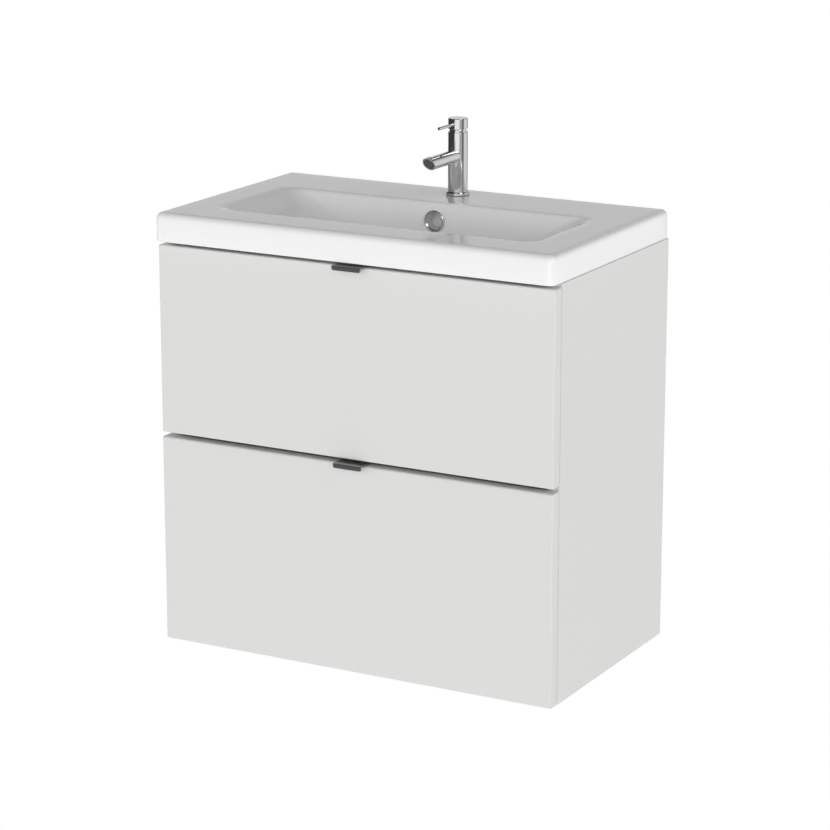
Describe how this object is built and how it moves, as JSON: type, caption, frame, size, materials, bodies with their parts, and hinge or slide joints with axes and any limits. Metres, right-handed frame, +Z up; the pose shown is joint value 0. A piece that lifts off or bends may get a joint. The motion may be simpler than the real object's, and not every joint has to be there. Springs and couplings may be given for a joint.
{
  "type": "wall-hung bathroom vanity cabinet",
  "caption": "Wall-hung vanity cabinet with an inset-bowl basin, lever mixer tap, bottle trap and full-width drawers on telescopic runners.",
  "frame": {"origin": "centre of the four wall-screw holes, on the wall plane", "axes": "+X to the right seen from the front, -Y out of the wall towards the user, +Z up"},
  "size_m": [0.602, 0.361, 0.717],
  "materials": {
    "grey_lacquered_board": "smooth satin lacquer over board, pale grey",
    "light_grey_drawer_board": "fine-textured melamine-faced board, light grey",
    "white_glazed_ceramic": "glossy white glaze",
    "polished_chrome": "mirror-polished chrome plate",
    "polished_pull_metal": "polished plated steel strip",
    "zinc_plated_steel": "zinc plated",
    "brass": "turned brass",
    "rubber": "matt",
    "white_plastic": "moulded, slight gloss",
    "grey_plastic": "moulded, matt",
    "sealant": "cured silicone",
    "beech_dowel": "fluted beech"
  },
  "bodies": {
    "cabinet": {"left_side_panel": "grey_lacquered_board", "right_side_panel": "grey_lacquered_board", "bottom_panel": "light_grey_drawer_board", "rear_top_rail": "light_grey_drawer_board", "rear_bottom_rail": "light_grey_drawer_board", "front_cross_rail": "light_grey_drawer_board", "back_panel": "light_grey_drawer_board", "carcass_dowels": "beech_dowel", "carcass_screws": "zinc_plated_steel", "wall_plates": "zinc_plated_steel", "hanger_housings": "white_plastic", "hanger_hooks": "zinc_plated_steel", "drawer_buffers": "rubber", "cabinet_runners": "zinc_plated_steel", "basin_deck": "white_glazed_ceramic", "basin_bowl": "white_glazed_ceramic", "basin_sealant": "sealant", "overflow_ring": "polished_chrome", "waste_body": "polished_chrome", "waste_seal": "rubber", "waste_nut": "brass", "plug_guide": "grey_plastic", "trap_inlet_nut": "white_plastic", "trap_body": "white_plastic", "trap_cup": "white_plastic", "trap_outlet_nut": "white_plastic", "trap_outlet_pipe": "white_plastic", "tap_gasket": "rubber", "tap_base_ring": "polished_chrome", "tap_body": "polished_chrome", "tap_spout": "polished_chrome", "tap_aerator": "grey_plastic", "tap_stud": "brass", "tap_horseshoe": "zinc_plated_steel", "tap_fixing_nut": "brass"},
    "upper_drawer": {"upper_drawer_runners": "zinc_plated_steel", "upper_front": "grey_lacquered_board", "upper_pull": "polished_pull_metal", "upper_left_side": "light_grey_drawer_board", "upper_right_side": "light_grey_drawer_board", "upper_back_boards": "light_grey_drawer_board", "trap_cutout_walls": "white_plastic", "upper_bottom": "light_grey_drawer_board", "upper_brackets": "zinc_plated_steel", "upper_screws": "zinc_plated_steel"},
    "upper_runner_middle": {"upper_middle_runners": "zinc_plated_steel"},
    "lower_drawer": {"lower_drawer_runners": "zinc_plated_steel", "lower_front": "grey_lacquered_board", "lower_pull": "polished_pull_metal", "lower_left_side": "light_grey_drawer_board", "lower_right_side": "light_grey_drawer_board", "lower_back": "light_grey_drawer_board", "lower_bottom": "light_grey_drawer_board", "lower_brackets": "zinc_plated_steel", "lower_screws": "zinc_plated_steel"},
    "lower_runner_middle": {"lower_middle_runners": "zinc_plated_steel"},
    "tap_turning_part": {"tap_cartridge": "polished_chrome"},
    "tap_lever_head": {"tap_head": "polished_chrome", "tap_lever": "polished_chrome"},
    "waste_plug": {"waste_plug": "polished_chrome"}
  },
  "joints": [
    {"name": "upper_drawer_slide", "type": "slide", "parent": "cabinet", "child": "upper_drawer", "axis": [0, -1, 0], "range_m": [0, 0.28]},
    {"name": "upper_middle_slide", "type": "slide", "parent": "cabinet", "child": "upper_runner_middle", "axis": [0, -1, 0], "range_m": [0, 0.14]},
    {"name": "lower_drawer_slide", "type": "slide", "parent": "cabinet", "child": "lower_drawer", "axis": [0, -1, 0], "range_m": [0, 0.28]},
    {"name": "lower_middle_slide", "type": "slide", "parent": "cabinet", "child": "lower_runner_middle", "axis": [0, -1, 0], "range_m": [0, 0.14]},
    {"name": "tap_temperature_turn", "type": "hinge", "parent": "cabinet", "child": "tap_turning_part", "pos_m": [0, -0.048, 0.2133], "axis": [0, 0, 1], "range_deg": [-45, 45]},
    {"name": "tap_flow_lift", "type": "hinge", "parent": "tap_turning_part", "child": "tap_lever_head", "pos_m": [0, -0.048, 0.2133], "axis": [-1, 0, 0], "range_deg": [0, 15]},
    {"name": "waste_plug_slide", "type": "slide", "parent": "cabinet", "child": "waste_plug", "axis": [0, 0, 1], "range_m": [0, 0.007]}
  ],
  "couplings": [
    {"joint": "upper_middle_slide", "follows": "upper_drawer_slide", "ratio": 0.5},
    {"joint": "lower_middle_slide", "follows": "lower_drawer_slide", "ratio": 0.5}
  ]
}
